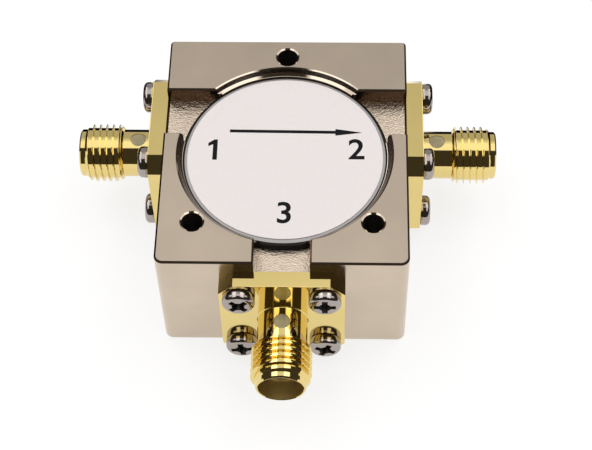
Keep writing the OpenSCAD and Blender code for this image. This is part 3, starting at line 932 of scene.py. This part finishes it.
class CIRCULATOR_OT_plugs(bpy.types.Operator):
    """Fill each neck's hole with its resin plug"""
    bl_idname = "circulator.plugs"
    bl_label = "Resin plugs"

    def execute(self, context):
        s = context.scene.circulator_port
        plug = plug_tool(s, 0)
        r = s.neck_d / 2 - s.plug_sunk
        cut(plug, turned("neck_tool", [(r, 0), (r, port_length())], 144), "INTERSECT")
        r = s.contact_d / 2
        cut(plug, turned("contact_tool", [(r, 0), (r, port_length())], 48))
        clean(plug)
        look = context.scene.circulator_finish
        resin = plain("plug_resin", look.resin, (0.10, 0.22), 0.2 * MM, 0.006 * MM, 0.14)
        for side in PORT_TURNS:
            twin = moved(copied(plug, f"{side}_resin_plug"), port_matrix(side))
            finished(twin, resin, [f"{side}_potting_plug"])
        bpy.data.objects.remove(plug)
        return {"FINISHED"}


class CIRCULATOR_OT_screws(bpy.types.Operator):
    """Make one cross-recess pan-head screw and set four in each flange, each at its own turn"""
    bl_idname = "circulator.screws"
    bl_label = "Flange screws"

    # Turn of each screw in its flange: lower left, upper left, lower right, upper right
    turns = {"front": (8, 45, -24, 0), "right": (40, 12, 66, -8), "left": (21, 75, 5, 33)}

    def execute(self, context):
        s, port = context.scene.circulator_screw, context.scene.circulator_port
        screw = self.screw(s)
        look = context.scene.circulator_finish
        bright = plated("screw_plate", look.screw, (0.08, 0.15), 0.07 * MM, 0.0012 * MM, 0.05)
        # Painted shade: near-black faces inside the cross recess
        dark = plain("screw_recess_shade", look.recess, (0.4, 0.6), 0.06 * MM, 0.004 * MM, 0.3)
        for finish in (bright, dark):
            screw.data.materials.append(finish)
        for face in screw.data.polygons:
            within = face.center.xy.length < s.recess_span / 2
            sunk = s.head_h - s.recess_depth - TINY < face.center.z < s.head_h - 0.05 * MM
            face.material_index = 1 if within and sunk else 0
        for side in PORT_TURNS:
            four = []
            for (x, y), turn in zip(corners(s.pitch), self.turns[side]):
                at = Matrix.Translation((x, y, port.flange_t)) @ Matrix.Rotation(math.radians(turn), 4, "Z")
                four.append(moved(copied(screw, "screw"), at))
            group = moved(joined(four, f"{side}_pan_head_screws"), port_matrix(side))
            finished(group, bright, [f"{side}_flange_screws"])
        bpy.data.objects.remove(screw)
        return {"FINISHED"}

    def screw(self, s):
        r, shoulder = s.head_d / 2, s.head_h - s.head_edge_r
        foot = s.head_foot
        shank = s.shank_d / 2
        profile = [(shank, -s.under_head), (shank, 0), (r - foot, 0), (r - 0.3 * foot, 0.3 * foot), (r, foot)]
        for i in range(9):
            a = math.radians(90 * i / 8)
            in_by, up_by = s.head_edge_r * (1 - math.cos(a)), s.head_edge_r * 0.94 * math.sin(a)
            profile.append((r - in_by, shoulder + up_by))
        profile += [((r - s.head_edge_r) * 0.5, s.head_h - 0.008 * MM), (0.05 * MM, s.head_h)]
        screw = turned("screw_master", profile, 64)
        for turn in (0, 90):
            cut(screw, moved(self.arm(s), Matrix.Rotation(math.radians(turn), 4, "Z")))
        cone = [(0.3 * MM, s.head_h - s.recess_depth), (0.70 * MM, s.head_h + PAST)]
        cut(screw, turned("recess_cone", cone, 32))
        return clean(screw)

    def arm(self, s):
        """One tapered arm of the cross."""
        top, bottom = s.head_h + PAST, s.head_h - s.recess_depth
        span, wide = s.recess_span / 2, s.recess_arm / 2
        arm = block("recess_arm", (-span, -wide, bottom), (span, wide, top))
        for corner in arm.data.vertices:
            if corner.co.z < (top + bottom) / 2:
                corner.co.x *= 0.72
                corner.co.y *= 0.8
        return arm


class CIRCULATOR_OT_insides(bpy.types.Operator):
    """Give the solids that stay, inside the ports and the junction, their finishes"""
    bl_idname = "circulator.insides"
    bl_label = "Insides"

    def execute(self, context):
        look = context.scene.circulator_finish
        gold = bpy.data.materials["gold_plate"]
        # Painted shade: the insulator's colour is darkened for the shade in the mouth
        white = plain("dielectric", look.dielectric, (0.35, 0.5), 0.08 * MM, 0.001 * MM, 0.03)
        ferrite = plain("ferrite", look.ferrite, (0.3, 0.5), 0.05 * MM, 0.002 * MM, 0.15)
        magnet = plated("magnet_ground", look.magnet, (0.3, 0.45), 0.06 * MM, 0.001 * MM)
        pole = plated("pole_steel", look.pole, (0.2, 0.35), 0.05 * MM, 0.001 * MM)
        alloy = plated("nickel_iron", look.alloy, (0.2, 0.3), 0.05 * MM, 0.0008 * MM)
        silver = plated("silver_plate", look.silver, (0.12, 0.2), 0.05 * MM, 0.0006 * MM)
        finishes = {"centre_conductor": silver}
        for side in PORT_TURNS:
            finishes[f"{side}_insulator"] = white
            finishes[f"{side}_contact"] = gold
        for level in ("lower", "upper"):
            finishes[f"{level}_ferrite"] = ferrite
            finishes[f"{level}_magnet"] = magnet
            finishes[f"{level}_pole_plate"] = pole
            finishes[f"{level}_compensation_disc"] = alloy
        for name, finish in finishes.items():
            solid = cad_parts[name]
            solid.data.materials.clear()
            solid.data.materials.append(finish)
        return {"FINISHED"}


class CIRCULATOR_PT_panel(bpy.types.Panel):
    """Lists the pieces in the order in which they are made"""
    bl_idname = "CIRCULATOR_PT_panel"
    bl_label = "Coaxial circulator"
    bl_space_type = "VIEW_3D"
    bl_region_type = "UI"
    bl_category = "Circulator"

    def draw(self, context):
        for operator in OPERATORS:
            self.layout.operator(operator.bl_idname)
        for name in SETTINGS:
            group = getattr(context.scene, name)
            box = self.layout.box()
            for key in group.__annotations__:
                box.prop(group, key)


OPERATORS = (
    CIRCULATOR_OT_stage,
    CIRCULATOR_OT_housing,
    CIRCULATOR_OT_lid,
    CIRCULATOR_OT_label,
    CIRCULATOR_OT_ports,
    CIRCULATOR_OT_plugs,
    CIRCULATOR_OT_screws,
    CIRCULATOR_OT_insides,
)
SETTINGS = {
    "circulator_housing": HousingSettings,
    "circulator_lid": LidSettings,
    "circulator_port": PortSettings,
    "circulator_screw": ScrewSettings,
    "circulator_finish": FinishSettings,
    "circulator_stage": StageSettings,
}


def register():
    for cls in (*SETTINGS.values(), *OPERATORS, CIRCULATOR_PT_panel):
        bpy.utils.register_class(cls)
    for name, cls in SETTINGS.items():
        setattr(bpy.types.Scene, name, PointerProperty(type=cls))


def unregister():
    for name in SETTINGS:
        delattr(bpy.types.Scene, name)
    for cls in reversed((*SETTINGS.values(), *OPERATORS, CIRCULATOR_PT_panel)):
        bpy.utils.unregister_class(cls)


def main():
    register()
    bpy.ops.circulator.stage()
    bpy.ops.circulator.housing()
    bpy.ops.circulator.lid()
    bpy.ops.circulator.label()
    bpy.ops.circulator.ports()
    bpy.ops.circulator.plugs()
    bpy.ops.circulator.screws()
    bpy.ops.circulator.insides()


if __name__ == "__main__":
    main()
